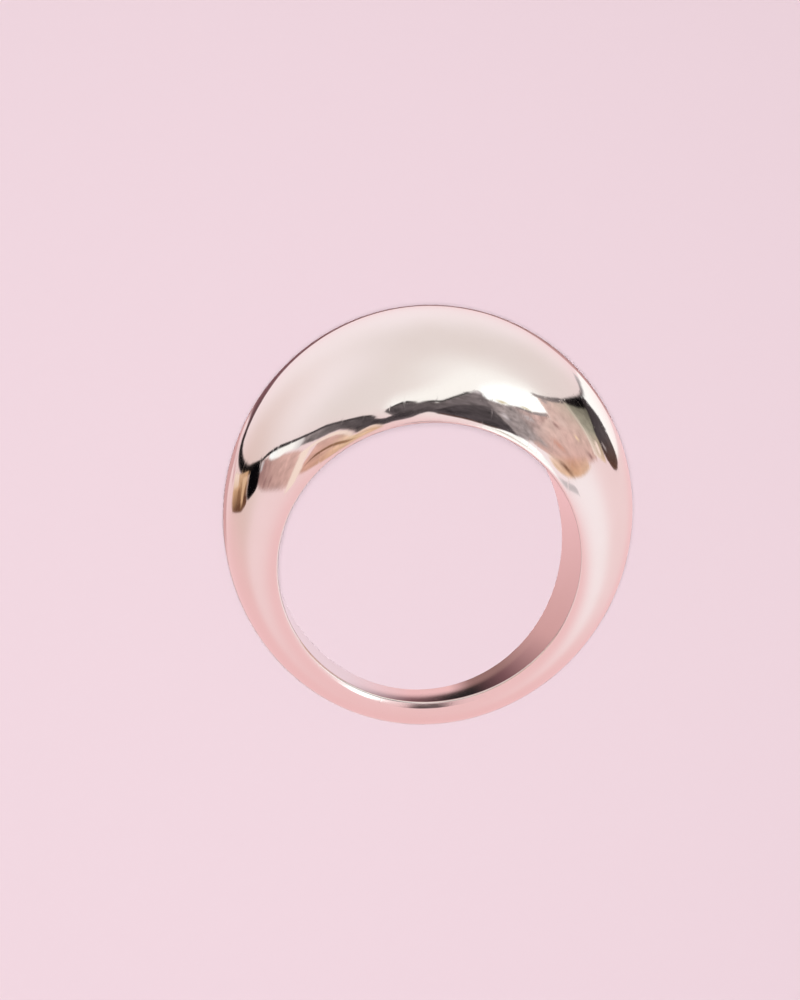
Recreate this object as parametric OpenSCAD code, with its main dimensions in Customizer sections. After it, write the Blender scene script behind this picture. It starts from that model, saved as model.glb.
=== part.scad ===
// Dome ring in polished silver, in millimetres.
// One solid piece: a high rounded dome on top of the finger that tapers all the way round to a
// narrow shank below it, with a plain round finger hole.
// It lies on its side, on one rim, as it would on a table. The dome points along +Y, the narrow
// shank along -Y, and the origin is under the middle of the ring, on the table.

/* [Finger hole] */
// Inside diameter, here of US size 7
bore_d = 17.3; // [15:0.1:21]

/* [Dome] */
// Width of the dome along the finger, from rim to rim
dome_w = 13; // [10:0.1:15]
// Height of the dome above the finger hole
dome_rise = 5.7; // [4:0.05:6.5]

/* [Sides and shank] */
// Thickness of the metal at the two sides, halfway round
side_rise = 3.05; // [2.5:0.05:3.5]
// Width of the shank along the finger, opposite the dome
shank_w = 3.1; // [2.6:0.1:5]
// Thickness of the shank, opposite the dome
shank_rise = 1.7; // [1.3:0.05:2.2]

/* [Rims] */
// Radius of the soft edge between the outside and the finger hole
edge_r = 0.1; // [0.1:0.05:0.5]

/* [Smoothness] */
// Sections round the ring
sections = 96; // [48:12:108]
// Steps over the crest of each section
crest_steps = 24; // [12:2:28]

/* [Hidden] */

bore_r = bore_d / 2;
// The outline's two widest places, where the rims touch a table, lie on this radius
rim_r = bore_r + edge_r;
// Each rim lies in one plane, and the two planes open towards the dome like a wedge
middle_hw = (dome_w + shank_w) / 4;
taper = (dome_w - shank_w) / (4 * rim_r);
// Resting on the lower rim turns the ring by the wedge's half angle
lie_angle = atan(taper);
// The blank reaches this far inside the finger hole, and the drill takes it away
drill_allowance = 0.25;
drill_h = dome_w + 4;
// Angles at which the rounded edge is drawn, from the widest place towards the hole
edge_angles = [30, 60];

// Thickness of the metal at angle a round the ring, where 90 is the dome and -90 the shank:
// the smooth curve through the shank, side and dome thicknesses
function rise(a) =
    side_rise
    + (dome_rise - shank_rise) / 2 * sin(a)
    + ((dome_rise + shank_rise) / 2 - side_rise) * pow(sin(a), 2);

// Half the width of the ring at angle a
function half_w(a) = middle_hw + taper * rim_r * sin(a);

// Crest of the section at angle a, as [radius, height along the finger]: half an ellipse
function crest_point(a, turn) =
    [rim_r + (rise(a) - edge_r) * cos(turn), half_w(a) * sin(turn)];

// Rounded edge of the section at angle a, on the side that side (1 or -1) names
function edge_point(a, turn, side) =
    [rim_r - edge_r * sin(turn), side * (half_w(a) - edge_r * (1 - cos(turn)))];

// Foot of the section, inside the metal that the drill takes away
function foot_point(a, side) =
    [bore_r - drill_allowance, side * (half_w(a) - 2 * edge_r)];

// Outline of the section at angle a, once round from the lower rim over the crest
function outline(a) = concat(
    [for (i = [0 : crest_steps]) crest_point(a, -90 + 180 * i / crest_steps)],
    [for (turn = edge_angles) edge_point(a, turn, 1)],
    [foot_point(a, 1), foot_point(a, -1)],
    [for (i = [len(edge_angles) - 1 : -1 : 0]) edge_point(a, edge_angles[i], -1)]
);

// A section's points in space, about the axis of the finger hole
function placed(a) = [for (p = outline(a)) [p[0] * cos(a), p[0] * sin(a), p[1]]];

blank_points = [for (k = [0 : sections - 1]) each placed(360 * k / sections)];
per_section = len(outline(0));

// One face between neighbouring sections k and k + 1, at outline points j and j + 1
function face(k, j) =
    let (
        next_k = (k + 1) % sections,
        next_j = (j + 1) % per_section
    )
    [
        k * per_section + j,
        k * per_section + next_j,
        next_k * per_section + next_j,
        next_k * per_section + j
    ];

blank_faces = [for (k = [0 : sections - 1]) for (j = [0 : per_section - 1]) face(k, j)];

// Where each point goes along Y and Z once the ring lies on its rim: these centre the ring over
// the origin, and put its lowest point on the table
lying_y = [for (p = blank_points) p[1] * cos(lie_angle) - p[2] * sin(lie_angle)];
lying_z = [for (p = blank_points) p[1] * sin(lie_angle) + p[2] * cos(lie_angle)];
centre_y = (min(lying_y) + max(lying_y)) / 2;
lift = -min(lying_z);

module blank() {
    polyhedron(points = blank_points, faces = blank_faces, convexity = 4);
}

module finger_hole() {
    cylinder(h = drill_h, r = bore_r, center = true, $fn = 180);
}

module ring() {
    color("silver")
        translate([0, -centre_y, lift])
            rotate([lie_angle, 0, 0])
                difference() {
                    blank();
                    finger_hole();
                }
}

ring();
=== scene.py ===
# %% [markdown]
# # A polished silver dome ring
#
# The ring is one piece of silver: a high dome over the finger that tapers all the way round to a
# narrow shank. It lies on its side on a pale floor, and the camera looks down along the finger
# hole. Polished silver has next to no colour of its own, so half of the work is the metal's exact
# form and the other half is what stands around it to be mirrored.
#
# The script works in metres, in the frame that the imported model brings: +Z is up from the floor
# and +Y is the way the dome points.

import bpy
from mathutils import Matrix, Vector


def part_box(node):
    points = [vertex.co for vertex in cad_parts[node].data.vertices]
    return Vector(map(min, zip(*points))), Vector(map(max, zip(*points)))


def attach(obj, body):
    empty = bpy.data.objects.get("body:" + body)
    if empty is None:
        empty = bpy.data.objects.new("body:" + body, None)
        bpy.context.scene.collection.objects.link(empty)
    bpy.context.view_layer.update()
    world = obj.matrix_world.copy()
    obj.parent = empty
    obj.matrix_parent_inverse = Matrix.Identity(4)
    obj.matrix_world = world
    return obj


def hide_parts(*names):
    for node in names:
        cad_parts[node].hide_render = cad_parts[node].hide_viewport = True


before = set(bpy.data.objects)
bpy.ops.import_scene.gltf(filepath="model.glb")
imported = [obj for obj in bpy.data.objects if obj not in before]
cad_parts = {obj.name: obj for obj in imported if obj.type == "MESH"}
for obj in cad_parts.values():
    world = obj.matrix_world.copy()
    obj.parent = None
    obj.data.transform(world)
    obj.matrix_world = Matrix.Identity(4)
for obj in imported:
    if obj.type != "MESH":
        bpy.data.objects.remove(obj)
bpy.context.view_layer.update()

# %% [markdown]
# The driving sizes are the jeweller's: the inside diameter, and how wide and how thick the ring
# is at the dome, the sides and the shank. Everything else about the form is worked out from them.

# %% Driving sizes
from math import asin, atan, atan2, ceil, cos, degrees, exp, pi, radians, sin

import bpy
from mathutils import Matrix, Vector

MM = 0.001
BORE_RADIUS = 17.3 / 2 * MM
DOME_WIDTH = 13.0 * MM
DOME_RISE = 5.7 * MM
SIDE_RISE = 3.05 * MM
SHANK_WIDTH = 3.1 * MM
SHANK_RISE = 1.7 * MM
EDGE_RADIUS = 0.1 * MM

rim_radius = BORE_RADIUS + EDGE_RADIUS
middle_half_width = (DOME_WIDTH + SHANK_WIDTH) / 4
taper = (DOME_WIDTH - SHANK_WIDTH) / (4 * rim_radius)
lie_angle = atan(taper)
print(f"the rims lean {degrees(lie_angle):.2f} degrees each way")

# %% [markdown]
# A domed ring can be modelled by pulling a subdivided torus about, or by sweeping a section whose
# size changes on the way round. Mirror polish shows every wobble of a surface, so the section is
# swept by formula: half an ellipse over the crest, a quarter circle at each rim, and a straight
# wall in the finger hole. The ellipse and the quarter circles share their tangents, which leaves
# no crease for a reflection to break on.


# %% The section at one place round the ring
def rise(turn):
    """Thickness of the metal at an angle round the ring: 90 degrees is the dome, -90 the shank."""
    lean = (DOME_RISE - SHANK_RISE) / 2
    swell = (DOME_RISE + SHANK_RISE) / 2 - SIDE_RISE
    return SIDE_RISE + lean * sin(turn) + swell * sin(turn) ** 2


def half_width(turn):
    """Half the ring's width along the finger: both rims lie in planes, like the sides of a wedge."""
    return middle_half_width + taper * rim_radius * sin(turn)


CREST_STEPS = 80
EDGE_STEPS = 10
WALL_STEPS = 14


def section(turn):
    """Points (radius, height along the finger) once round the section, from the lower rim."""
    thick = rise(turn) - EDGE_RADIUS
    half = half_width(turn)
    wall_end = half - EDGE_RADIUS
    crest = [pi * (i / CREST_STEPS - 0.5) for i in range(CREST_STEPS)]
    edge = [pi / 2 * i / EDGE_STEPS for i in range(EDGE_STEPS)]
    wall = [1 - 2 * i / WALL_STEPS for i in range(WALL_STEPS)]
    return (
        [(rim_radius + thick * cos(a), half * sin(a)) for a in crest]
        + [(rim_radius - EDGE_RADIUS * sin(a), wall_end + EDGE_RADIUS * cos(a)) for a in edge]
        + [(BORE_RADIUS, wall_end * w) for w in wall]
        + [
            (rim_radius - EDGE_RADIUS * cos(a), -wall_end - EDGE_RADIUS * sin(a))
            for a in edge
        ]
    )


print("points in a section:", len(section(0.0)))

# %% [markdown]
# The sections are joined into one closed skin, and the skin is then laid on its lower rim: it
# turns by the lean of the rims, and moves so that the middle of its box is over the origin and
# its lowest point is on the floor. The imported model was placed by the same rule, so the two boxes
# have to agree. That model's skin is made of flat facets whose widest points fall a few
# thousandths of a millimetre short of the true curve, so the smooth skin is drawn in by as much.

# %% Sweep the section into the ring
SECTIONS = 360
FACET_SHARE = 0.9994


def new_object(name, points, faces):
    """A mesh object with smooth shading, linked to the scene."""
    mesh = bpy.data.meshes.new(name)
    mesh.from_pydata(points, [], faces)
    mesh.shade_smooth()
    made = bpy.data.objects.new(name, mesh)
    bpy.context.scene.collection.objects.link(made)
    return made


def grid_faces(rows, columns, closed_rows=False, closed_columns=False):
    """Faces between rows of points, that may close on themselves either way."""
    return [
        (
            r * columns + c,
            r * columns + (c + 1) % columns,
            (r + 1) % rows * columns + (c + 1) % columns,
            (r + 1) % rows * columns + c,
        )
        for r in range(rows if closed_rows else rows - 1)
        for c in range(columns if closed_columns else columns - 1)
    ]


def swept_points():
    """The ring's points about the finger hole's axis, one section after another."""
    return [
        Vector((radius * cos(turn), radius * sin(turn), height)) * FACET_SHARE
        for turn in (2 * pi * k / SECTIONS for k in range(SECTIONS))
        for radius, height in section(turn)
    ]


lie = Matrix.Rotation(lie_angle, 4, "X")
swept = [lie @ p for p in swept_points()]
lows = [min(p[axis] for p in swept) for axis in range(3)]
highs = [max(p[axis] for p in swept) for axis in range(3)]
hole_centre = Vector((0.0, -(lows[1] + highs[1]) / 2, -lows[2]))
placed = [p + hole_centre for p in swept]
ring = new_object("silver_ring", placed, grid_faces(SECTIONS, len(section(0.0)), True, True))
print("ring:", len(ring.data.polygons), "faces; finger hole's centre", hole_centre)

# %% Put the ring in the frame
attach(ring, "root")
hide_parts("ring")

cad_low, cad_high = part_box("ring")
for axis in range(3):
    low = min(v.co[axis] for v in ring.data.vertices)
    high = max(v.co[axis] for v in ring.data.vertices)
    print("XYZ"[axis], f"off by {(low - cad_low[axis]) / MM:.4f}, {(high - cad_high[axis]) / MM:.4f} mm")

# %% [markdown]
# A finish is built as a graph of nodes. Long graphs are easier to read as formulas, so one small
# class wraps a socket: adding or multiplying two of them adds the Math node that does it.


# %% Shader maths
class Wire:
    """An output socket of a node tree, or the bare tree. Number wires work in plain formulas."""

    def __init__(self, tree, socket=None):
        self.tree = tree
        self.socket = socket

    def node(self, kind, settings=None, inputs=None, output=0):
        """Adds a node: its settings first, then its sockets. Returns one of its outputs."""
        made = self.tree.nodes.new(kind)
        for name, value in (settings or {}).items():
            setattr(made, name, value)
        for name, value in (inputs or {}).items():
            if isinstance(value, Wire):
                self.tree.links.new(value.socket, made.inputs[name])
            else:
                made.inputs[name].default_value = value
        return Wire(self.tree, made.outputs[output] if made.outputs else None)

    def math(self, operation, first, second=0.0):
        return self.node("ShaderNodeMath", {"operation": operation}, {0: first, 1: second})

    def __add__(self, other):
        return self.math("ADD", self, other)

    __radd__ = __add__

    def __sub__(self, other):
        return self.math("SUBTRACT", self, other)

    def __rsub__(self, other):
        return self.math("SUBTRACT", other, self)

    def __mul__(self, other):
        return self.math("MULTIPLY", self, other)

    __rmul__ = __mul__

    def fade(self, start, end):
        """0 before start, 1 after end, and a soft change between them."""
        return self.node(
            "ShaderNodeMapRange",
            {"interpolation_type": "SMOOTHSTEP"},
            {"Value": self, "From Min": start, "From Max": end},
        )

    def blend(self, first, second):
        """A colour between two others: this wire is the share of the second."""
        return self.node(
            "ShaderNodeMix", {"data_type": "RGBA"}, {"Factor": self, 6: first, 7: second}, output=2
        )

    def noise(self, scale, stretch=(1.0, 1.0, 1.0), detail=2.0, source="Object"):
        """Soft random numbers about 0.5, in place coordinates stretched by three shares."""
        place = source
        if not isinstance(source, Wire):
            place = self.node("ShaderNodeTexCoord", {}, {}, output=source)
        spread = self.node("ShaderNodeVectorMath", {"operation": "MULTIPLY"}, {0: place, 1: stretch})
        return self.node("ShaderNodeTexNoise", {}, {"Vector": spread, "Scale": scale, "Detail": detail})


def new_finish(name):
    """A material with an empty node tree, and the wire to build it with."""
    material = bpy.data.materials.new(name)
    material.use_nodes = True
    material.node_tree.nodes.clear()
    return material, Wire(material.node_tree)


def surface(tree, inputs):
    """Ends a finish with the Principled shader and the output node."""
    shader = tree.node("ShaderNodeBsdfPrincipled", {}, inputs)
    tree.node("ShaderNodeOutputMaterial", {}, {"Surface": shader})


# %% [markdown]
# Silver mirrors nearly all light, a little less in the blue. A ring polished by hand is not a
# perfect mirror, though: the wheel leaves hairlines that run round the ring, wear adds stray
# scratches, a thin uneven haze lies between them, and the rims, which touch every table, are
# duller. An image could carry all this, but noise in the ring's own place coordinates stays sharp
# from close by and has no seam. Noise that is stretched round the hole turns into hairlines.
#
# First come the coordinates: millimetres about the finger hole's centre, with Y towards the dome
# and Z along the finger, and from them how far a place is from the rims and from the hole's wall.

# %% Where a place is on the ring
RIM_WEAR = 0.3
WALL_DEPTH = 0.12


def ring_place(tree):
    """Object coordinates turned upright again, in millimetres about the finger hole's centre."""
    place = tree.node("ShaderNodeTexCoord", {}, {}, output="Object")
    upright = {"Location": hole_centre, "Rotation": (lie_angle, 0.0, 0.0), "Scale": (MM, MM, MM)}
    return tree.node("ShaderNodeMapping", {"vector_type": "TEXTURE"}, {"Vector": place, **upright})


def from_axis(tree, place):
    """How far a place is from the finger hole's axis."""
    flat = tree.node("ShaderNodeVectorMath", {"operation": "MULTIPLY"}, {0: place, 1: (1.0, 1.0, 0.0)})
    return tree.node("ShaderNodeVectorMath", {"operation": "LENGTH"}, {0: flat}, output="Value")


def near_rim(tree, place):
    """1 on the rims' edges, and 0 from RIM_WEAR millimetres away."""
    towards_dome = tree.node("ShaderNodeSeparateXYZ", {}, {0: place}, output="Y")
    along_finger = tree.node("ShaderNodeSeparateXYZ", {}, {0: place}, output="Z")
    half = towards_dome * taper + middle_half_width / MM
    below = (half - along_finger.math("ABSOLUTE", along_finger)).fade(0.0, RIM_WEAR)
    outside = from_axis(tree, place).fade(rim_radius / MM, rim_radius / MM + RIM_WEAR)
    return (1 - below) * (1 - outside)


def inside_hole(tree, place):
    """1 on the finger hole's wall, and 0 on the outside."""
    return 1 - from_axis(tree, place).fade(BORE_RADIUS / MM, BORE_RADIUS / MM + WALL_DEPTH)


# %% [markdown]
# The masks then set the roughness and a very shallow bump. The bump is given in true depths: the
# hairlines are about a thousandth of a millimetre deep, and the slow waves that a hand polish
# leaves are ten times that over some millimetres. The ring is kept out of what the floor sees,
# because the glints that it would throw there come out as noise.

# %% Polished silver
SILVER = (0.93, 0.91, 0.88, 1.0)
DULL_SILVER = (0.90, 0.865, 0.82, 1.0)
MIRROR = 0.05
HAIR_DEPTH = 0.0009 * MM
WAVE_DEPTH = 0.010 * MM


def polished_silver():
    material, tree = new_finish("polished silver")
    place = ring_place(tree)
    wheel = tree.noise(1.0, (0.10, 0.10, 6.5), 3.0, source=place)
    stray = tree.noise(1.0, (4.5, 0.16, 5.5), 2.0, source=place)
    cloud = tree.noise(0.32, (1.0, 1.0, 1.0), 4.0, source=place)
    waves = tree.noise(0.30, (1.0, 1.0, 1.0), 1.0, source=place)
    haze = cloud.fade(0.38, 0.68)
    hairs = wheel.fade(0.50, 0.64) * (0.3 + 0.7 * haze)
    scratches = stray.fade(0.63, 0.72)
    rim = near_rim(tree, place)
    hole = inside_hole(tree, place)
    roughness = MIRROR + 0.015 * haze + 0.02 * hairs + 0.04 * scratches + 0.07 * rim + 0.04 * hole
    slow = tree.node("ShaderNodeBump", {}, {"Height": waves, "Strength": 1.0, "Distance": WAVE_DEPTH})
    fine = {"Height": wheel + 0.8 * scratches, "Strength": 1.0, "Distance": HAIR_DEPTH, "Normal": slow}
    surface(
        tree,
        {
            "Base Color": (0.35 * haze + 0.45 * hole).blend(SILVER, DULL_SILVER),
            "Metallic": 1.0,
            "Roughness": roughness,
            "Normal": tree.node("ShaderNodeBump", {}, fine),
        },
    )
    return material


ring.data.materials.append(polished_silver())
ring.visible_diffuse = False
print("silver:", len(ring.active_material.node_tree.nodes), "nodes")

# %% [markdown]
# The camera stands almost straight above the ring, a little to the left and towards the dome, and
# is rolled a few degrees, so that the finger hole shows some of its right wall. Its place is told
# from the finger hole's own axis, because that is what the picture shows best. The distance is
# short enough for the near rim to look larger than the far one.

# %% The camera
VIEW_DISTANCE = 216 * MM
VIEW_LEFT = radians(6.7)
VIEW_RISE = radians(11.0)
VIEW_ROLL = radians(7.3)
LENS_MM = 133.9
AIM_RIGHT = -1.36 * MM
AIM_UP = 2.95 * MM

hole_to_frame = lie.to_3x3()
toward = hole_to_frame @ Vector(
    (-sin(VIEW_LEFT) * cos(VIEW_RISE), sin(VIEW_RISE), cos(VIEW_LEFT) * cos(VIEW_RISE))
)
level = hole_to_frame @ Vector((cos(VIEW_LEFT), 0.0, sin(VIEW_LEFT)))
right = cos(VIEW_ROLL) * level + sin(VIEW_ROLL) * toward.cross(level)
up = toward.cross(right)

camera = bpy.data.objects.new("camera", bpy.data.cameras.new("camera"))
bpy.context.scene.collection.objects.link(camera)
camera.location = hole_centre + toward * VIEW_DISTANCE
aim = hole_centre + right * AIM_RIGHT + up * AIM_UP
back = (camera.location - aim).normalized()
side = up.cross(back).normalized()
camera.matrix_world = Matrix.Translation(camera.location) @ Matrix(
    (side, back.cross(side), back)
).transposed().to_4x4()
camera.data.lens = LENS_MM
camera.data.clip_start = 0.01
bpy.context.scene.camera = camera
print(f"camera {degrees(asin(toward.z)):.1f} degrees above the floor")

# %% [markdown]
# The surround is a set of glowing cards, laid out like a jeweller's photo table of white reflectors,
# black flags and a few warm gels, far enough away that only their direction counts. Only the silver
# sees them: their glow is painted reflection. A direction is named as the camera sees it: azimuth 0
# is towards the camera, 90 is to its right and 180 is beyond the ring; elevation 90 is up in the
# picture, the way the dome points.


# %% Directions round the ring
def direction(azimuth, elevation):
    """A unit vector from two angles in degrees."""
    turn, climb = radians(azimuth), radians(elevation)
    return cos(climb) * (right * sin(turn) + toward * cos(turn)) + up * sin(climb)


def light(red, green, blue):
    """The linear light that a card gives off, so that silver shows these screen values."""
    screen = [value / 255 for value in (red, green, blue)]
    linear = [v / 12.92 if v < 0.04045 else ((v + 0.055) / 1.055) ** 2.4 for v in screen]
    return Vector([value / share for value, share in zip(linear, SILVER)])


print("white paper gives off", light(255, 255, 255))

# %% [markdown]
# The tent and the cards glow in a few shop colours, as paper, cloth and gel come in; the glow paints
# what the silver mirrors. Each is named once here, and they are mixed only where one fades into the
# next.

# %% Colours of the papers, cloths and gels
WHITE = light(255, 255, 252)
IVORY = light(252, 246, 240)
MILK = light(245, 230, 230)
PEARL = light(225, 210, 205)
PINK = light(235, 185, 185)
CREAM = light(242, 216, 202)
BLUSH = light(238, 206, 206)
ROSE = light(212, 170, 160)
CORAL = light(204, 150, 134)
DUSK = light(206, 156, 154)
WINE = light(150, 112, 108)
PLUM = light(118, 80, 84)
BLACK = light(8, 6, 8)
SOOT = light(42, 36, 36)
CHARCOAL = light(68, 60, 62)
ASH = light(92, 83, 83)
SMOKE = light(130, 118, 118)
DOVE = light(158, 144, 142)
MIST = light(196, 184, 184)
STRAW = light(206, 190, 150)
SAND = light(222, 184, 152)
TAN = light(205, 160, 124)
AMBER = light(245, 212, 175)
CARAMEL = light(152, 112, 82)
UMBER = light(112, 74, 54)
COFFEE = light(92, 58, 44)
OLIVE = light(134, 128, 112)
SAGE = light(178, 168, 150)
PETAL = light(216, 186, 176)

# %% [markdown]
# Behind the cards is a tent: one big glowing ball sewn from a few sheets, pale above and pink below,
# whose colours drift softly into each other. Its glow paints the reflection that the silver shows
# wherever no card stands. The colour is kept in the mesh as a colour attribute, one value at each
# point, which suits tones as soft as these better than a long graph of nodes. Only mirrored light may
# see the tent: it casts no shadow and it doesn't tint the floor.

# %% The tent's sheets
TENT_SHEETS = [
    # azimuth, elevation, colour
    (0, 90, PEARL),
    (-20, 35, PEARL),
    (-80, 40, MILK),
    (-105, 15, PETAL),
    (-150, 35, MILK),
    (30, 30, IVORY),
    (100, 45, PEARL),
    (180, 40, MILK),
    (180, 5, PINK),
    (110, 0, BLUSH),
    (60, -30, MILK),
    (-50, -35, BLUSH),
    (-140, -20, PINK),
    (0, -60, PINK),
    (180, -60, PINK),
]
SHEET_SHARPNESS = 9.0


def tent_colour(way):
    """The sheets' colours, each weighted by how near its direction is."""
    weights = [exp(SHEET_SHARPNESS * way.dot(direction(a, e))) for a, e, _ in TENT_SHEETS]
    total = sum((w * sheet[2] for w, sheet in zip(weights, TENT_SHEETS)), Vector((0.0, 0.0, 0.0)))
    return total / sum(weights)


print("straight above the picture the tent is", tent_colour(up))


# %% Colours kept at the points of a mesh
def keep_colours(made, colours):
    """Stores a colour with its alpha at each point of an object's mesh."""
    layer = made.data.color_attributes.new("card_colour", "FLOAT_COLOR", "POINT")
    layer.data.foreach_set("color", [value for colour in colours for value in colour])


def mirror_only(made):
    """Hides an object from all rays but mirrored ones, so that only reflections see it."""
    made.visible_camera = False
    made.visible_diffuse = False
    made.visible_transmission = False
    made.visible_volume_scatter = False
    made.visible_shadow = False


# %% [markdown]
# All cards share one kind of finish. The stored colour is given off as light, and the stored alpha
# says how far inside the card a place is. Noise frays the card's edge, and paints lighter and darker
# folds and streaks into the glow: painted light and shade, as it falls on crumpled paper. One
# function makes the plain and the creased kinds.


# %% The finish of a card
def glowing_card(name, fray, fold_shading):
    """fray is how ragged the edge is; the third number is how strong the painted light and shade of the folds
    is.
    """
    material, tree = new_finish(name)
    stored = {"layer_name": "card_colour"}
    colour = tree.node("ShaderNodeVertexColor", stored, {}, output="Color")
    inside = tree.node("ShaderNodeVertexColor", stored, {}, output="Alpha")
    ragged = tree.noise(0.8, (0.6, 1.0, 1.0), 4.0, source="UV")
    fold_shade_noise = tree.noise(0.2, (0.8, 1.0, 1.0), 5.0, source="UV")
    crease = tree.noise(0.7, (0.9, 0.35, 1.0), 3.0, source="UV")
    depth = inside + inside * (1 - inside) * 4 * fray * (ragged - 0.5)
    # Painted light and shade of folds and streaks, lightening and darkening the glow.
    shade = 1 + fold_shading * (fold_shade_noise - 0.5) * 2.0 + fold_shading * (crease - 0.5) * 0.8
    surface(
        tree,
        {
            "Base Color": (0.0, 0.0, 0.0, 1.0),
            "Specular IOR Level": 0.0,
            "Emission Color": tree.node(
                "ShaderNodeVectorMath", {"operation": "SCALE"}, {0: colour, "Scale": shade}
            ),
            "Emission Strength": 1.0,
            "Alpha": depth.fade(0.0, 1.0),
        },
    )
    return material


SMOOTH = glowing_card("smooth card", 0.5, 0.0)
FOLDED = glowing_card("folded card", 0.9, 0.45)
CREASED = glowing_card("creased card", 1.4, 1.1)

# %% The tent
TENT_RADIUS = 1.9
TENT_RINGS = 72

tent_ways = [
    direction(180 * c / TENT_RINGS, 180 * r / TENT_RINGS - 90)
    for r in range(TENT_RINGS + 1)
    for c in range(2 * TENT_RINGS)
]
tent = new_object(
    "tent",
    [hole_centre + way * TENT_RADIUS for way in tent_ways],
    grid_faces(TENT_RINGS + 1, 2 * TENT_RINGS, closed_columns=True),
)
keep_colours(tent, [(*tent_colour(way), 1.0) for way in tent_ways])
tent.data.materials.append(SMOOTH)
mirror_only(tent)
print("tent:", len(tent.data.polygons), "faces")

# %% [markdown]
# A card is a patch of a slightly smaller ball, between a low edge and a high edge. Each edge is a
# short list of directions, and has one to four plain tones, spread evenly from the first direction
# to the last. The card fades out across an edge, half of the fade on each side of it. Each new card
# stands a little nearer than the one before, so it covers it.


# %% Cut one card
def along(path, share):
    """The point at a share of the way along a path of equal steps."""
    place = share * (len(path) - 1)
    index = min(int(place), max(len(path) - 2, 0))
    return Vector(path[index]).lerp(Vector(path[min(index + 1, len(path) - 1)]), place - index)


def length_of(path):
    return sum((Vector(b) - Vector(a)).length for a, b in zip(path, path[1:]))


CARD_ROWS = 10
CARD_STEP = 0.6
CARD_GAP = 0.006
CARD_SHIFT = 50
cards = []


def card(
    name, low, high, tones, high_tones=None, soft=(1.6, 1.6), ends=(2, 2), gain=1.0, finish=SMOOTH
):
    """Makes a card. soft is the width in degrees over which its low and its high edge fade, and
    ends the same for its first and its last end."""
    length = max(length_of(low), length_of(high))
    columns = max(8, ceil(length / CARD_STEP))
    usual = (along(high, 0.5) - along(low, 0.5)).normalized()
    radius = TENT_RADIUS - CARD_GAP * (len(cards) + 2)
    points, colours, places = [], [], []
    for row in range(CARD_ROWS + 1):
        for column in range(columns + 1):
            u, v = column / columns, row / CARD_ROWS
            bottom, top = along(low, u), along(high, u)
            across = (top - bottom).normalized() if (top - bottom).length > 0.5 else usual
            bottom, top = bottom - across * soft[0] / 2, top + across * soft[1] / 2
            height = (top - bottom).length
            edge = min(1.0, v * height / soft[0], (1 - v) * height / soft[1])
            end = min(1.0, u * length / ends[0], (1 - u) * length / ends[1])
            colour = along(tones, u).lerp(along(high_tones or tones, u), v) * gain
            points.append(hole_centre + direction(*bottom.lerp(top, v)) * radius)
            colours.append((*colour, edge * end))
            places.append((u * length + CARD_SHIFT * len(cards), v * height))
    made = new_object(name, points, grid_faces(CARD_ROWS + 1, columns + 1))
    uv = made.data.uv_layers.new(name="card")
    uv.data.foreach_set("uv", [n for loop in made.data.loops for n in places[loop.vertex_index]])
    keep_colours(made, colours)
    made.data.materials.append(finish)
    mirror_only(made)
    cards.append(made)


def band(name, rows, tones, *more, **options):
    """A card that runs from left to right. Each row is an azimuth, a low and a high elevation."""
    lows = [(azimuth, low) for azimuth, low, _ in rows]
    highs = [(azimuth, high) for azimuth, _, high in rows]
    card(name, lows, highs, tones, *more, **options)


def post(name, rows, tones, *more, **options):
    """A card that stands up. Each row is an elevation, a left and a right azimuth."""
    lefts = [(left, elevation) for elevation, left, _ in rows]
    rights = [(right_side, elevation) for elevation, _, right_side in rows]
    card(name, lefts, rights, tones, *more, **options)


def ribbon(name, path, width, tones, **options):
    """A narrow card along a path of directions, thinner towards its ends."""
    half = width / 2
    rows = [(azimuth, elevation - half, elevation + half) for azimuth, elevation in path]
    options = {"soft": (half * 0.8, half * 0.8), "ends": (3, 3), **options}
    band(name, rows, tones, **options)


def spot(name, azimuth, elevation, width, height, colour, **options):
    """A soft oval fleck about a direction."""
    options = {"soft": (height / 2, height / 2), "ends": (width / 2, width / 2), **options}
    low, high = elevation - height / 4, elevation + height / 4
    rows = [(azimuth - width / 2, low, high), (azimuth + width / 2, low, high)]
    band(name, rows, [colour], **options)


# %% [markdown]
# The right shoulder of the dome mirrors the brightest part of the table: a white card that glows
# brighter than the rest and paints the big highlight there, over a row of grey, peach and tan cards.

# %% Bright card, painted highlight
card(
    "highlight_glow",
    [(-11, 0), (-3, 4), (6, 2), (16, 8), (26, 12), (38, 10), (50, 10), (60, 16), (72, 24)],
    [(-13, 10), (-4, 16), (5, 24), (12, 32), (20, 41), (32, 45), (46, 42), (60, 38), (74, 32)],
    [IVORY],
    soft=(1, 22),
    ends=(7, 9),
)
card(
    "bright_highlight_card",
    [(22, 12), (28, 12), (34, 12), (41, 13), (48, 14), (56, 16), (63, 17)],
    [(24, 25), (31, 29.5), (38, 33), (46, 34.5), (53, 33.5), (59, 32), (63, 29)],
    [WHITE],
    soft=(1, 15),
    ends=(6, 2),
    gain=1.16,
)

# %% Peach and olive gels
band(
    "peach_gel",
    [
        (34, -19.5, -15), (38, -20.5, -8), (42, -20.5, -1), (46, -19, 6), (50, -17, 11.5),
        (55, -14, 15), (59.5, -11, 17.5), (61, -10, 26), (62.5, -9, 32), (68, -6.5, 32),
        (75, -2.5, 32), (82, 1, 32), (88, 4, 32), (92, 5, 31),
    ],
    [ROSE],
    [DOVE, PETAL, PETAL, SAGE],
    soft=(1.6, 1),
    finish=FOLDED,
)
spot("coral_glow", 52, -5, 12, 11, CORAL)
spot("petal_glow", 68, 17, 16, 12, PETAL, finish=FOLDED)
spot("grey_smudge", 60, 11.5, 6, 7, WINE)
spot("wine_smudge", 82.5, 4.5, 7, 5, WINE)
spot("grey_haze", 66, 28, 9, 6, DOVE, finish=FOLDED)
spot("amber_fleck", 75, 10.5, 5, 5, AMBER)
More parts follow.
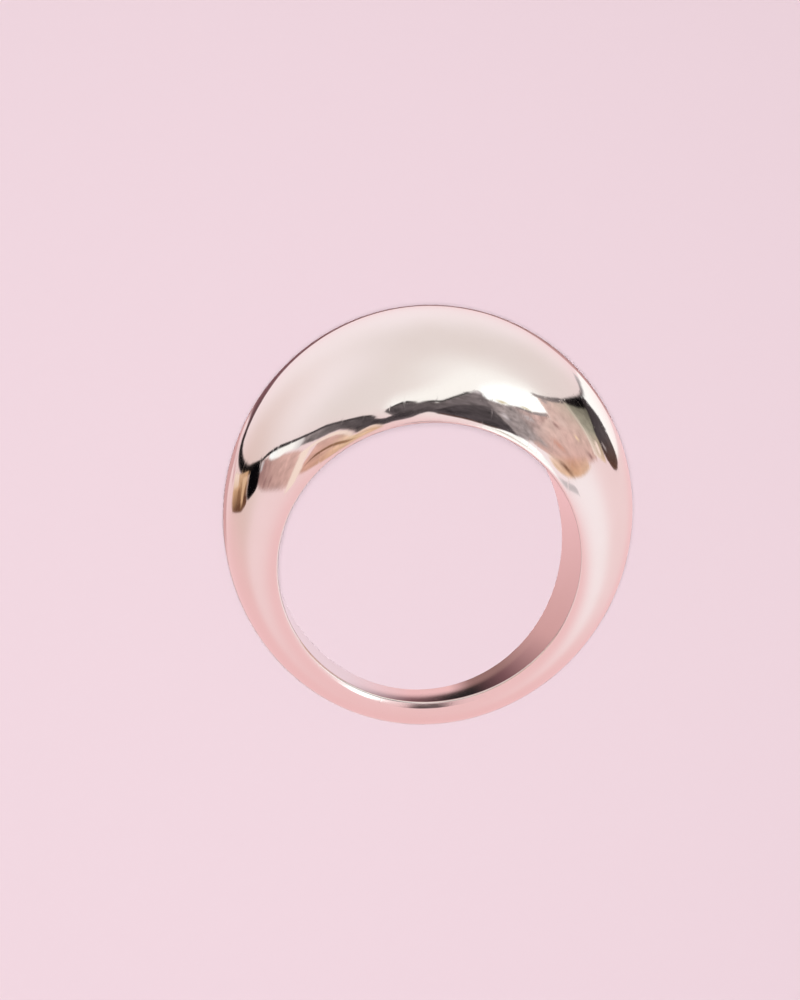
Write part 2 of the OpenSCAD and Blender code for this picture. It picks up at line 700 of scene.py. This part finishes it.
post(
    "olive_gel",
    [
        (31.5, 90, 112), (27, 90, 123), (24, 90, 121), (21, 90.5, 114), (18, 91, 110),
        (15, 91.5, 109), (12, 92, 106), (8.5, 92, 105.5), (6, 93, 104),
    ],
    [OLIVE, SAGE, CREAM],
    [SOOT, OLIVE, SAND],
    ends=(1, 3),
    finish=FOLDED,
)
ribbon("olive_pleat", [(83, 30), (83, 22), (85, 14), (86, 7)], 2, [SAGE, ROSE])
post(
    "cream_slat",
    [(30, 87.7, 90.5), (24, 87.5, 90.2), (17, 89, 91.8), (11, 89.5, 92.2), (6, 89, 91.5)],
    [SAGE, CREAM],
)
post(
    "cream_hem",
    [(15, 98, 101.5), (11.5, 97.5, 101), (8, 97, 100.5)],
    [CREAM],
    soft=(1.2, 1.2),
)

# %% Dark wall, lintel and white paper at the far right
ribbon(
    "grey_lintel",
    [(59, 31.8), (66, 30.6), (74, 30.6), (82, 31), (90, 31)],
    3,
    [DOVE, ASH],
)
band(
    "black_lintel",
    [
        (88, 30.2, 32), (96, 28.8, 32.2), (104, 27.4, 32.1), (112, 26.4, 31.2), (120, 25.4, 30),
        (127, 24.8, 28.9), (134, 24.6, 27.4),
    ],
    [SOOT, BLACK, SOOT],
)
ribbon("grey_thread", [(126, 27.5), (134, 27), (142, 26), (151, 23.4)], 2.2, [ASH, MIST])
card(
    "far_paper",
    [(126, 9), (136, 9.5), (145, 10), (155, 11), (164, 10.5)],
    [(121, 29), (131, 27), (142, 25.5), (152, 22), (162, 17)],
    [IVORY, BLUSH],
    [WHITE, IVORY],
    soft=(2.5, 1.5),
    ends=(1.5, 2),
    gain=1.05,
)
post(
    "dark_wall",
    [
        (28.5, 119, 126.5), (27, 117, 127), (25, 114.5, 127.5), (23.5, 112.5, 128), (21, 109.5, 129.5),
        (19, 107, 130.5), (17, 105.8, 130.5), (15, 106, 130.5), (13.3, 106, 131), (11.5, 106, 132),
        (9.8, 107, 132.5), (8.3, 108.5, 130.5), (7, 112.5, 126.5), (5.8, 117, 120.5),
    ],
    [SOOT, CHARCOAL, COFFEE],
    [CHARCOAL, ASH, COFFEE],
    soft=(2.4, 2.4),
    ends=(1, 1.5),
    finish=FOLDED,
)
# slit paints a thin grey highlight across the dark wall's reflection.
post("slit", [(15, 109.5, 112), (13, 110, 113.5), (11, 111, 114.5)], [DOVE])

# %% Grey and tan cards by the camera's right
band(
    "grey_paper",
    [
        (20, -17, 14), (23, -18, 17), (26, -19, 17.5), (28, -20, 15), (31, -20.5, 14),
        (34, -18, 13.4), (37, -14.5, 14.4), (39, -9, 14.8), (42, -3, 14.8), (46.5, 3.5, 14.4),
        (50.5, 8.5, 15.4), (55, 13, 17), (60, 17, 19.2),
    ],
    [SMOKE, DOVE, ROSE],
    [DOVE, DOVE, ROSE],
    soft=(2.5, 1.5),
    ends=(4, 1),
    finish=CREASED,
)
spot("dove_shade", 40, -12, 8, 13, DOVE, finish=CREASED)
spot("pale_crease", 30, -1, 4, 12, MIST, finish=CREASED)
spot("pale_fold", 42, 6, 8, 7, MIST, finish=CREASED)
spot("straw_fleck", 33.5, 15, 8, 6, STRAW)
spot("second_straw_fleck", 45, 15.6, 8, 5, STRAW)
ribbon("grey_hem", [(38, 13.6), (47, 13.4), (53, 15), (59.5, 17.8)], 2.2, [SMOKE, DOVE])
ribbon("olive_thread", [(40.5, -5), (40, -12), (40, -19), (41.8, -23)], 1.8, [OLIVE])
band(
    "tan_roll",
    [
        (37, -29.5, -24), (40, -29.5, -20), (44, -27.5, -17.5), (49, -24, -14), (54, -20, -10.5),
        (60, -15.5, -6.5), (66, -11, -3), (72, -6, 0), (78, -2, 3),
    ],
    [SAND, TAN, SAND],
    [CREAM, CORAL, ROSE],
    soft=(2.5, 5),
    ends=(2, 4),
    finish=FOLDED,
)
spot("umber_spot", 47.5, -20.5, 11, 9, UMBER)
card(
    "white_wedge_high",
    [(16, -25), (20, -28.5), (24.5, -33), (29.5, -37), (34, -38.5)],
    [(19, -17.5), (25, -18), (31, -19), (33.8, -23), (35.3, -30)],
    [IVORY, WHITE],
    gain=1.06,
    finish=FOLDED,
)
ribbon("sage_thread", [(21, -20.5), (24.5, -22), (27.5, -26), (30, -30)], 1.6, [STRAW, CARAMEL, STRAW])
ribbon("grey_fold", [(33, -38), (37, -36), (42, -33), (46, -30.6), (50, -29)], 3, [MIST])
# white_wedge paints the white glint on the lower rim, and brown_wedge the dark patch of reflection beside it.
post(
    "white_wedge",
    [(-27, 15.4, 23), (-36, 14.4, 20.6), (-41, 13.8, 18.2), (-45, 13.2, 16)],
    [WHITE],
    gain=1.5,
    soft=(1, 1.6),
)
post(
    "brown_wedge",
    [(-24.5, 2, 9.8), (-31, 3.3, 9.6), (-37, 4.6, 9.6), (-42, 6, 9.6), (-48, 7.6, 9.8)],
    [SOOT],
    soft=(0.8, 0.6),
    ends=(1, 2),
)

# %% [markdown]
# A black cloth hangs round the camera, with ragged folds. Its dark foot and its darker top edge are
# ribbons of their own, because one card has a single run of tones.

# %% Black cloth round the camera
band(
    "camera_cloth",
    [
        (-8.5, -1, 0.5), (-6, -6, 4.7), (-4.8, -9, 6.4), (-3.4, -12, 8.1), (-1.4, -15, 7.6),
        (0.6, -15.8, 7.1), (1.6, -14, 3.9), (3, -11, 6.1), (5, -8.5, 6.4), (7.2, -9.5, 6.7),
        (7.5, -10, 3), (8.9, -11.4, 5.7), (11, -12.8, 8), (13.1, -13.6, 11.2), (16, -15.4, 14.8),
        (18.5, -16.8, 18), (21, -18.2, 20.6), (23.5, -18.2, 23), (26.1, -18.4, 24.1), (28, -19, 21),
    ],
    [CHARCOAL],
    [ASH, SMOKE],
    soft=(1.2, 1.2),
    ends=(1, 3),
    finish=CREASED,
)
band(
    "cloth_fold",
    [
        (7, -10, -5.5), (8.6, -11.4, -4.5), (11.5, -13, -1.2), (14.2, -14.4, 1.4), (19, -17.2, 4),
        (24, -18, 6), (26, -18, 4), (27.2, -18, 0), (28, -18.4, -7), (29.4, -19.6, -12.5),
    ],
    [CHARCOAL],
    [CHARCOAL, ASH],
    finish=CREASED,
)
ribbon(
    "cloth_edge",
    [(2.6, 5), (7, 5.8), (9.2, 5.4), (13, 10.4), (16, 14), (19, 17.6), (22, 20.6)],
    2.2,
    [SOOT],
)
ribbon("far_cloth_edge", [(-8, 0.4), (-5.8, 4), (-3.2, 7), (0.4, 6.2)], 2.2, [SOOT])
ribbon("rust_thread", [(7, -9.5), (11.5, -12.6), (16, -15), (21, -17.8), (25, -17.6)], 1.4, [COFFEE])
spot("cloth_tip", 25, 21, 5.5, 7, MIST)
band(
    "grey_ridge",
    [
        (-51, 3.4, 7), (-47, 0.8, 6.3), (-42, -1.6, 5.4), (-37, -3.5, 5.2), (-32, -5, 4.8),
        (-27.3, -5.4, 3), (-23, -6.4, 1.6), (-19, -9.8, 0.7), (-15.2, -14.5, -1.2), (-12.2, -19.8, -3.4),
        (-10.6, -17.4, -4.6), (-9.8, -16, -8), (-8, -16.4, -9.6), (-6.5, -19, -10.4),
        (-4.7, -18.5, -8.8), (-3, -17, -7.4), (1, -15.8, -7.4),
    ],
    [DOVE, ASH, CHARCOAL, CHARCOAL],
    [DOVE, ASH, CHARCOAL, CHARCOAL],
    finish=CREASED,
)

# %% [markdown]
# The left shoulder mirrors a white sheet and a rosy one over black, with warm gels between them.

# %% Cards by the camera's left
band(
    "rose_sheet",
    [
        (-84, -1, 8.6), (-80, -3.5, 8.2), (-76, -6, 7.6), (-72, -8.2, 6.8), (-68, -10.2, 6),
        (-63, -12.6, 4.8), (-58, -15, 3.2), (-53, -17.8, 1.2), (-48, -20.6, -1), (-44, -23, -3),
        (-40, -25.4, -6), (-37, -27, -12), (-34.5, -28.2, -18), (-32, -28, -24),
    ],
    [WINE, ROSE],
    [WINE, ROSE, ROSE],
    soft=(3.5, 1),
    finish=FOLDED,
)
spot("wine_streak", -70, -6, 6, 9, WINE)
spot("second_wine_streak", -62, -9, 5, 8, WINE)
post("pale_edge", [(8, -84.5, -81), (5, -83.5, -80.8), (2, -82, -79.5)], [MIST], ends=(1, 2))
band(
    "white_sheet",
    [
        (-77, 7.8, 9.8), (-72, 5.4, 10), (-67, 4.2, 9.9), (-62, 3.1, 9), (-58, 3.4, 8.4),
        (-54, 2.3, 7.4), (-50, 0.6, 6.6), (-46, -1.4, 5.4), (-42.5, -2.8, 2),
    ],
    [WHITE, IVORY, IVORY, MIST],
    soft=(2, 1),
    ends=(1, 4),
)
band(
    "tan_gel",
    [
        (-31, -22, -9), (-29, -26, -8.5), (-27, -28, -8.4), (-24.5, -30, -9), (-22, -31.5, -10.2),
        (-19, -33, -12.6), (-17, -33.8, -15), (-15, -34.7, -18), (-13, -35.3, -20.5), (-11, -35.5, -22),
        (-9.5, -34.5, -22.5), (-8, -29.5, -21), (-6.5, -25.5, -20.5), (-4.5, -23, -19),
    ],
    [CORAL, TAN],
    [ROSE, ROSE, AMBER, TAN],
    finish=FOLDED,
)
ribbon(
    "brown_crease",
    [(-28, -25), (-25.5, -21.3), (-22.4, -21), (-19, -21.2), (-16, -23), (-12.5, -26), (-9.5, -26.4)],
    2.4,
    [UMBER, CARAMEL],
)
ribbon(
    "pale_hem",
    [(-38, -9.4), (-34, -8), (-30, -7.8), (-26, -8.2), (-22, -9.6), (-18, -13), (-15, -17.4), (-12.5, -21.5)],
    3.0,
    [CREAM],
)
band(
    "cream_spike",
    [(-12.5, -24, -19.6), (-10.6, -22.5, -17.4), (-9, -21.5, -15.6), (-7.5, -21.5, -16.4), (-5, -21.5, -19)],
    [TAN],
    [CREAM],
    soft=(1, 1.4),
)
post(
    "cream_post",
    [
        (-7, -40.5, -34.5), (-11, -38.8, -33.6), (-16, -37.5, -32), (-20, -36.6, -30.8), (-24, -35.7, -28.8),
        (-28, -34.7, -27.8), (-31, -33.2, -27.2), (-34, -31, -26.5),
    ],
    [CREAM],
    soft=(2, 1.6),
    ends=(1, 3),
)

# %% Dusky paper and mauve haze at the far left
band(
    "dusk_strip",
    [(-146, -3, 8), (-152, -3, 9.5), (-158, -3, 9.5), (-164, -3, 9), (-170, -3, 7.5), (-178, -4, 6)],
    [DUSK],
    soft=(5, 1.5),
    ends=(3, 3),
)
band(
    "mauve_rim",
    [
        (-150, 13.5, 18.6), (-156, 12.5, 18.8), (-160, 11, 19), (-165, 9, 19.5), (-170, 7, 19.5),
        (-175, 5, 18.5), (-180, 4, 17.5), (-185, 4, 17.5), (-190, 5, 19), (-195, 8, 20.5), (-201, 11.5, 19),
    ],
    [PLUM, PLUM, WINE, DUSK],
    ends=(1, 4),
)
ribbon(
    "pink_thread",
    [(-134, 5), (-137, 7), (-140, 8.6), (-145, 9.8), (-150, 10.8), (-156, 10.6)],
    2.6,
    [DUSK, BLUSH],
)

# %% Black line and block at the left
card(
    "black_line",
    [
        (-98, 5.6), (-106, 6.2), (-113, 6.8), (-120, 8), (-128, 9.2), (-136, 10.4), (-143, 11.4),
        (-148, 12.4), (-152, 14), (-158, 14.4),
    ],
    [
        (-98, 10), (-106, 9.8), (-115, 11), (-125, 12.2), (-132, 12.9), (-138, 13.6), (-142.5, 15.2),
        (-146, 17), (-150, 18.6), (-157, 19.5),
    ],
    [BLACK, BLACK, SOOT, PLUM],
    soft=(1, 1.6),
)
post(
    "black_block",
    [
        (10.2, -101, -86), (8.6, -101, -85), (6.3, -101, -84.3), (3.9, -100.6, -83), (1.5, -99, -81.8),
        (-0.8, -97.8, -81.1), (-3, -96.5, -80.6), (-4.6, -94, -81.8), (-5.8, -91.5, -85),
    ],
    [BLACK],
    soft=(2.2, 1.2),
    ends=(1, 2.5),
)
ribbon(
    "thin_black_line",
    [
        (-86, 9), (-80, 10.2), (-74, 10.6), (-68, 10.3), (-63, 9.4), (-57, 8.2), (-50, 6.8),
        (-45, 6), (-41, 5.4), (-34, 5), (-28, 3), (-22, 0.9), (-16, -0.9), (-11, -4),
    ],
    2.0,
    [BLACK, SOOT, CHARCOAL, SOOT],
    ends=(1, 2),
)

# %% Amber gels under the black line
post(
    "amber_gel",
    [
        (7.8, -132.3, -103), (6, -131.5, -101.5), (4, -130.3, -100.5), (2, -130.2, -99), (0, -129.6, -98),
        (-1.8, -125.5, -97), (-3.4, -117, -95.6), (-5, -109, -95.2), (-6.6, -102, -98),
    ],
    [SAND, TAN, UMBER, UMBER],
    [TAN, CARAMEL, COFFEE, UMBER],
    soft=(2.5, 1.5),
    ends=(1, 4),
    finish=FOLDED,
)
post(
    "cream_strip",
    [(8.2, -132.5, -122.5), (6, -131.5, -119.5), (4.6, -130.5, -118.5), (3.2, -129, -119)],
    [CREAM, SAND],
    ends=(1, 2),
)
post(
    "bright_thread",
    [(6.6, -112, -104), (4.5, -110.5, -103), (1.8, -108.7, -103.5), (-5, -107.4, -103.5)],
    [SAND, TAN],
    soft=(1.5, 1.5),
)
post(
    "dark_thread",
    [(4, -117.5, -112.5), (0, -117, -110.5), (-3, -113.5, -109.5)],
    [CARAMEL, UMBER],
)
print("cards:", len(cards))

# %% [markdown]
# The floor is a plain pale rose. The camera sees it, but the silver doesn't: what the ring mirrors
# near its foot is a narrow glowing skirt round it in blush and wine, a painted contact shade of the
# floor, which the tent's light replaces further out. Inside the finger hole the wall mirrors a
# glowing disc whose tone goes round from pale rose to brown: painted shade of the floor at the
# wall's foot.

# %% Floor
FLOOR_SIZE = 1.6
PALE_ROSE = (0.850, 0.660, 0.725, 1.0)


def pale_floor():
    material, tree = new_finish("pale floor")
    surface(tree, {"Base Color": PALE_ROSE, "Roughness": 0.9, "Specular IOR Level": 0.2})
    return material


floor = new_object(
    "floor",
    [(x * FLOOR_SIZE, y * FLOOR_SIZE, 0.0) for x, y in ((-1, -1), (1, -1), (1, 1), (-1, 1))],
    [(0, 1, 2, 3)],
)
floor.data.materials.append(pale_floor())
floor.visible_glossy = False

# %% The painted floor shade that the foot of the ring mirrors
SKIRT_HEIGHT = 0.01 * MM
SKIRT_OUTSIDE = 1.0 * MM
SKIRT_STEPS = 10
SKIRT_TURNS = 180

foot_middle = Vector((0.0, hole_centre.y + hole_centre.z * sin(lie_angle) / cos(lie_angle), SKIRT_HEIGHT))
foot_half = Vector((BORE_RADIUS, BORE_RADIUS / cos(lie_angle), 0.0))
edge_middle = Vector((0.0, (cad_low[1] + cad_high[1]) / 2, SKIRT_HEIGHT))
edge_half = Vector((cad_high[0] + SKIRT_OUTSIDE, (cad_high[1] - cad_low[1]) / 2 + SKIRT_OUTSIDE, 0.0))


def spoke(half, turn):
    return Vector((half.x * cos(turn), half.y * sin(turn), 0.0))


def clock(way):
    """A floor direction as an angle in degrees, clockwise from the picture's right."""
    return degrees(atan2(-way.dot(up), way.dot(right)))


skirt_points, skirt_colours = [], []
for step in range(SKIRT_STEPS + 1):
    share = step / SKIRT_STEPS
    for k in range(SKIRT_TURNS):
        way = 2 * pi * k / SKIRT_TURNS
        inner, outer = foot_middle + spoke(foot_half, way), edge_middle + spoke(edge_half, way)
        skirt_points.append(inner.lerp(outer, share))
        # Painted contact shade: darkest towards the top of the picture, on the dome's side, and lightest
        # towards the bottom; the skirt fades out towards its outer edge.
        shaded = 0.5 - 0.5 * sin(radians(clock(spoke(edge_half, way)) + 10))
        skirt_colours.append((*BLUSH.lerp(WINE, shaded), min(1.0, (1 - share) * 4)))

skirt = new_object("painted_shade_skirt", skirt_points, grid_faces(SKIRT_STEPS + 1, SKIRT_TURNS, closed_columns=True))
keep_colours(skirt, skirt_colours)
skirt.data.materials.append(SMOOTH)
mirror_only(skirt)

# %% The disc of painted floor shade that the finger hole's wall mirrors
FLOOR_GLOW = Vector(PALE_ROSE[:3])
# Pale rose and pink are the floor's own tone; dusk, plum, wine and soot are painted shade of the floor at the
# wall's foot, darkest towards the bottom of the picture.
HOLE_TONES = [
    # clock angle from the picture's right, near the rim, deeper down
    (-180, FLOOR_GLOW, FLOOR_GLOW),
    (-20, PINK, PINK),
    (38, DUSK, DUSK),
    (58, PLUM, WINE),
    (70, SOOT, WINE),
    (78, SOOT, PINK),
    (92, PLUM, PINK),
    (116, FLOOR_GLOW, FLOOR_GLOW),
    (180, FLOOR_GLOW, FLOOR_GLOW),
]
TONE_CHANGE = 0.94
DISC_TURNS = 180
DISC_RINGS = 30
TONE_BLUR = 0.012


def hole_tone(angle, reach):
    """The disc's colour at an angle in degrees, and at a share of the way out to the wall."""
    deep = min(1.0, max(0.0, (reach - TONE_CHANGE) / TONE_BLUR / 2 + 0.5))
    for (start, rim_a, deep_a), (end, rim_b, deep_b) in zip(HOLE_TONES, HOLE_TONES[1:]):
        if start <= angle <= end:
            share = (angle - start) / (end - start)
            return rim_a.lerp(rim_b, share).lerp(deep_a.lerp(deep_b, share), deep)
    raise ValueError(angle)


disc_points, disc_colours = [], []
for step in range(DISC_RINGS + 1):
    reach = 1 - (1 - step / DISC_RINGS) ** 2
    for k in range(DISC_TURNS):
        arm = spoke(foot_half, 2 * pi * k / DISC_TURNS)
        disc_points.append(foot_middle + arm * reach)
        disc_colours.append((*hole_tone(clock(arm), reach), 1.0))
disc = new_object("painted_hole_shade", disc_points, grid_faces(DISC_RINGS + 1, DISC_TURNS, closed_columns=True))
keep_colours(disc, disc_colours)
disc.data.materials.append(SMOOTH)
mirror_only(disc)

# %% [markdown]
# The key lamp stands where the camera does, so it shines down the finger hole and its shadows lie
# behind the ring. A fill lamp further off casts no shadow: it keeps the floor even, and makes the
# key's shadow half as deep. A little light comes from all round. The silver doesn't see the lamps,
# because they would leave round spots on the dome.

# %% Lamps and view
KEY_SIZE = 14 * MM
KEY_WATTS = 0.215
FILL_DISTANCE = 2.0
FILL_SIZE = 0.3
FILL_WATTS = 21.0
AMBIENT_COLOUR = (1.0, 0.98, 0.98, 1.0)
AMBIENT_STRENGTH = 0.06


def lamp(name, distance, size, watts, shadow=True):
    """A round area lamp on the camera's line, aimed at the ring."""
    data = bpy.data.lights.new(name, "AREA")
    data.shape = "DISK"
    data.size = size
    data.energy = watts
    data.use_shadow = shadow
    made = bpy.data.objects.new(name, data)
    bpy.context.scene.collection.objects.link(made)
    way = direction(0, 0)
    made.location = hole_centre + way * distance
    made.rotation_euler = way.to_track_quat("Z", "Y").to_euler()
    made.visible_camera = False
    made.visible_glossy = False


lamp("key_lamp", VIEW_DISTANCE, KEY_SIZE, KEY_WATTS)
lamp("fill_lamp", FILL_DISTANCE, FILL_SIZE, FILL_WATTS, shadow=False)

world = bpy.data.worlds.new("soft light")
bpy.context.scene.world = world
world.use_nodes = True
ambient = world.node_tree.nodes["Background"].inputs
ambient["Color"].default_value = AMBIENT_COLOUR
ambient["Strength"].default_value = AMBIENT_STRENGTH
bpy.context.scene.view_settings.view_transform = "Standard"
